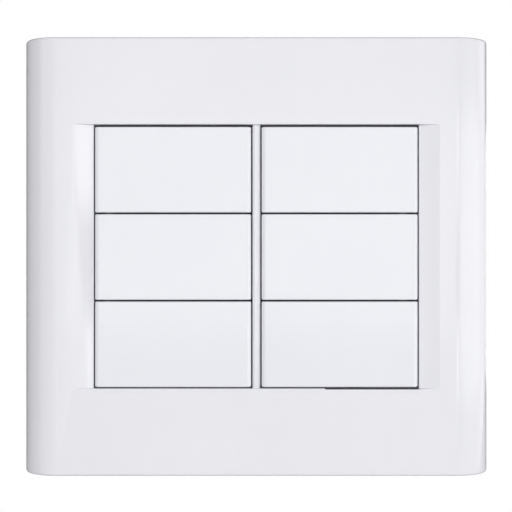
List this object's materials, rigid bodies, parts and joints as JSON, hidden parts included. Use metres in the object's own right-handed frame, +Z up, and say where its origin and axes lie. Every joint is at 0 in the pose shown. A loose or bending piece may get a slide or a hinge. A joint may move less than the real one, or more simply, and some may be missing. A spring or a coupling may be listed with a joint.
{
  "type": "wall switch plate",
  "caption": "Glossy wall plate with columns of rocker switch keys, snapped over a mounting frame that carries the switch modules.",
  "frame": {"origin": "centre of the plate in the wall plane, which is the back of the mounting frame and of the cover's rim", "axes": "+X to the right seen from the room, +Z up, +Y into the wall, so the front faces -Y"},
  "size_m": [0.1234, 0.031, 0.115],
  "materials": {
    "plate_white": "glossy moulded",
    "key_white": "glossy moulded",
    "frame_grey": "fine texture",
    "yoke_grey": "fine texture",
    "housing_grey": "fine texture",
    "plunger_nylon": "natural nylon",
    "spring_steel": "bright",
    "contact_brass": "stamped",
    "terminal_brass": "stamped"
  },
  "bodies": {
    "wall_unit": {"cover_plate": "plate_white", "mounting_frame": "frame_grey", "yoke_top_left": "yoke_grey", "housing_top_left": "housing_grey", "common_terminal_top_left": "terminal_brass", "load_terminal_top_left": "terminal_brass", "clamp_springs_top_left": "spring_steel", "yoke_middle_left": "yoke_grey", "housing_middle_left": "housing_grey", "common_terminal_middle_left": "terminal_brass", "load_terminal_middle_left": "terminal_brass", "clamp_springs_middle_left": "spring_steel", "yoke_bottom_left": "yoke_grey", "housing_bottom_left": "housing_grey", "common_terminal_bottom_left": "terminal_brass", "load_terminal_bottom_left": "terminal_brass", "clamp_springs_bottom_left": "spring_steel", "yoke_top_right": "yoke_grey", "housing_top_right": "housing_grey", "common_terminal_top_right": "terminal_brass", "load_terminal_top_right": "terminal_brass", "clamp_springs_top_right": "spring_steel", "yoke_middle_right": "yoke_grey", "housing_middle_right": "housing_grey", "common_terminal_middle_right": "terminal_brass", "load_terminal_middle_right": "terminal_brass", "clamp_springs_middle_right": "spring_steel", "yoke_bottom_right": "yoke_grey", "housing_bottom_right": "housing_grey", "common_terminal_bottom_right": "terminal_brass", "load_terminal_bottom_right": "terminal_brass", "clamp_springs_bottom_right": "spring_steel"},
    "key_top_left": {"rocker_top_left": "key_white", "plunger_top_left": "plunger_nylon", "plunger_spring_top_left": "spring_steel"},
    "bridge_top_left": {"contact_bridge_top_left": "contact_brass"},
    "key_middle_left": {"rocker_middle_left": "key_white", "plunger_middle_left": "plunger_nylon", "plunger_spring_middle_left": "spring_steel"},
    "bridge_middle_left": {"contact_bridge_middle_left": "contact_brass"},
    "key_bottom_left": {"rocker_bottom_left": "key_white", "plunger_bottom_left": "plunger_nylon", "plunger_spring_bottom_left": "spring_steel"},
    "bridge_bottom_left": {"contact_bridge_bottom_left": "contact_brass"},
    "key_top_right": {"rocker_top_right": "key_white", "plunger_top_right": "plunger_nylon", "plunger_spring_top_right": "spring_steel"},
    "bridge_top_right": {"contact_bridge_top_right": "contact_brass"},
    "key_middle_right": {"rocker_middle_right": "key_white", "plunger_middle_right": "plunger_nylon", "plunger_spring_middle_right": "spring_steel"},
    "bridge_middle_right": {"contact_bridge_middle_right": "contact_brass"},
    "key_bottom_right": {"rocker_bottom_right": "key_white", "plunger_bottom_right": "plunger_nylon", "plunger_spring_bottom_right": "spring_steel"},
    "bridge_bottom_right": {"contact_bridge_bottom_right": "contact_brass"}
  },
  "joints": [
    {"name": "rocker_top_left_tilt", "type": "hinge", "parent": "wall_unit", "child": "key_top_left", "pos_m": [-0.02188, -0.00542, 0.02276], "axis": [0, 0, 1], "range_deg": [0, 6]},
    {"name": "bridge_top_left_rock", "type": "hinge", "parent": "wall_unit", "child": "bridge_top_left", "pos_m": [-0.02188, 0.00748, 0.02276], "axis": [0, 0, 1], "range_deg": [-17, 0]},
    {"name": "rocker_middle_left_tilt", "type": "hinge", "parent": "wall_unit", "child": "key_middle_left", "pos_m": [-0.02188, -0.00542, -0.00014], "axis": [0, 0, 1], "range_deg": [0, 6]},
    {"name": "bridge_middle_left_rock", "type": "hinge", "parent": "wall_unit", "child": "bridge_middle_left", "pos_m": [-0.02188, 0.00748, -0.00014], "axis": [0, 0, 1], "range_deg": [-17, 0]},
    {"name": "rocker_bottom_left_tilt", "type": "hinge", "parent": "wall_unit", "child": "key_bottom_left", "pos_m": [-0.02188, -0.00542, -0.02304], "axis": [0, 0, 1], "range_deg": [0, 6]},
    {"name": "bridge_bottom_left_rock", "type": "hinge", "parent": "wall_unit", "child": "bridge_bottom_left", "pos_m": [-0.02188, 0.00748, -0.02304], "axis": [0, 0, 1], "range_deg": [-17, 0]},
    {"name": "rocker_top_right_tilt", "type": "hinge", "parent": "wall_unit", "child": "key_top_right", "pos_m": [0.02188, -0.00542, 0.02276], "axis": [0, 0, 1], "range_deg": [0, 6]},
    {"name": "bridge_top_right_rock", "type": "hinge", "parent": "wall_unit", "child": "bridge_top_right", "pos_m": [0.02188, 0.00748, 0.02276], "axis": [0, 0, 1], "range_deg": [-17, 0]},
    {"name": "rocker_middle_right_tilt", "type": "hinge", "parent": "wall_unit", "child": "key_middle_right", "pos_m": [0.02188, -0.00542, -0.00014], "axis": [0, 0, 1], "range_deg": [0, 6]},
    {"name": "bridge_middle_right_rock", "type": "hinge", "parent": "wall_unit", "child": "bridge_middle_right", "pos_m": [0.02188, 0.00748, -0.00014], "axis": [0, 0, 1], "range_deg": [-17, 0]},
    {"name": "rocker_bottom_right_tilt", "type": "hinge", "parent": "wall_unit", "child": "key_bottom_right", "pos_m": [0.02188, -0.00542, -0.02304], "axis": [0, 0, 1], "range_deg": [0, 6]},
    {"name": "bridge_bottom_right_rock", "type": "hinge", "parent": "wall_unit", "child": "bridge_bottom_right", "pos_m": [0.02188, 0.00748, -0.02304], "axis": [0, 0, 1], "range_deg": [-17, 0]}
  ],
  "couplings": [
    {"joint": "bridge_top_left_rock", "follows": "rocker_top_left_tilt", "ratio": -2.8333},
    {"joint": "bridge_middle_left_rock", "follows": "rocker_middle_left_tilt", "ratio": -2.8333},
    {"joint": "bridge_bottom_left_rock", "follows": "rocker_bottom_left_tilt", "ratio": -2.8333},
    {"joint": "bridge_top_right_rock", "follows": "rocker_top_right_tilt", "ratio": -2.8333},
    {"joint": "bridge_middle_right_rock", "follows": "rocker_middle_right_tilt", "ratio": -2.8333},
    {"joint": "bridge_bottom_right_rock", "follows": "rocker_bottom_right_tilt", "ratio": -2.8333}
  ]
}
